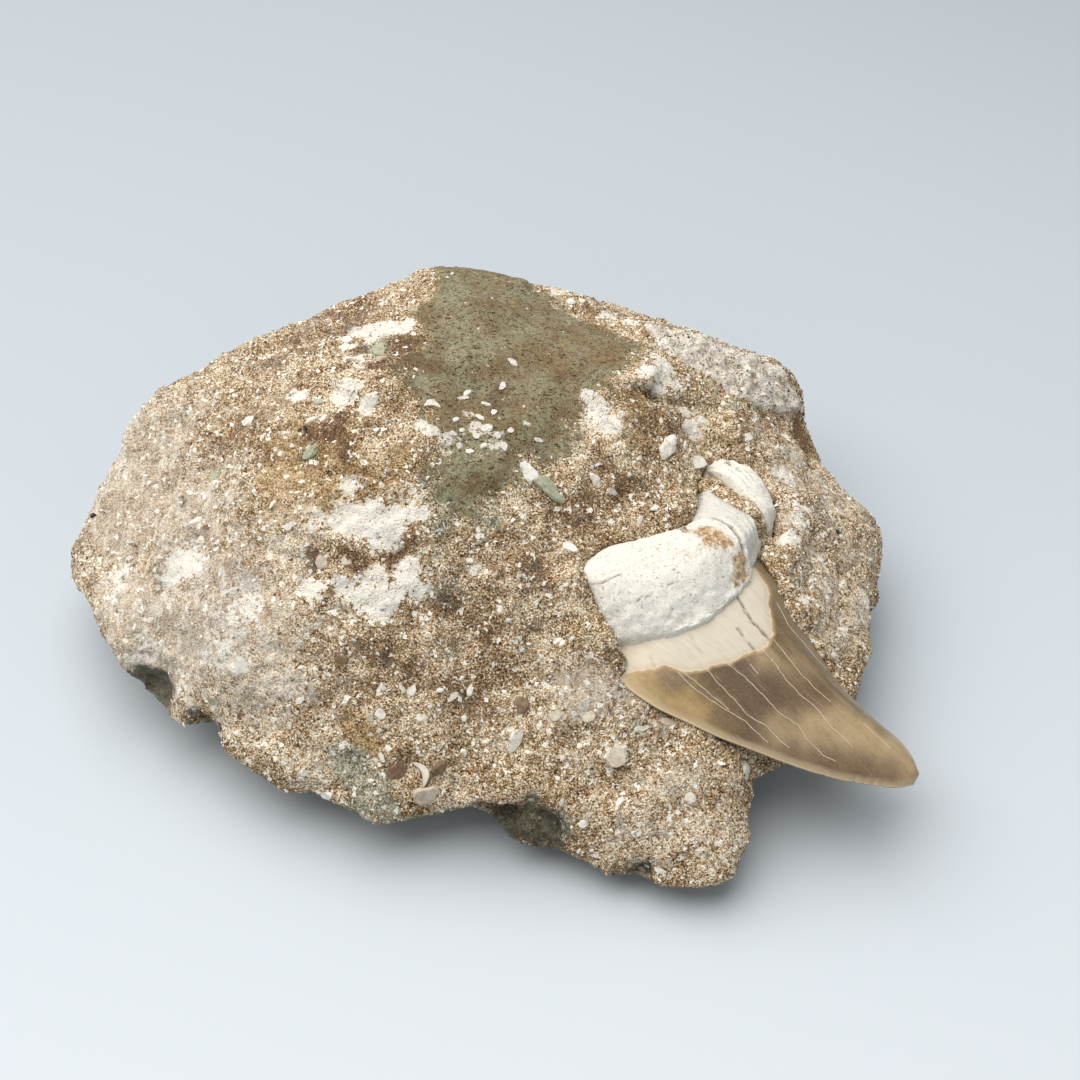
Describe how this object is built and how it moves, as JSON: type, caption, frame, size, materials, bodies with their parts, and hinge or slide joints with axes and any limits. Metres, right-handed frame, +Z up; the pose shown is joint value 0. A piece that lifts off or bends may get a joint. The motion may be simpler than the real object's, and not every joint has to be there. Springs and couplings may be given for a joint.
{
  "type": "fossil shark tooth",
  "caption": "Fossil shark tooth in a loose lump of its shelly sand matrix, root bedded in and point hanging free; rests on a small flat spot.",
  "frame": {"origin": "centre of the specimen's bounding box in plan, on the surface it rests on", "axes": "+Z up, +X along the specimen's longest side, towards the side where the tooth's point hangs over, +Y away from the lower front edge"},
  "size_m": [0.1474, 0.117, 0.0473],
  "materials": {
    "matrix": "matt, gritty shelly sand with chalky and olive patches",
    "tooth": "satin honey-grey enamel crown on a matt cream-white root"
  },
  "bodies": {
    "root": {"matrix": "matrix", "tooth": "tooth"}
  },
  "joints": []
}
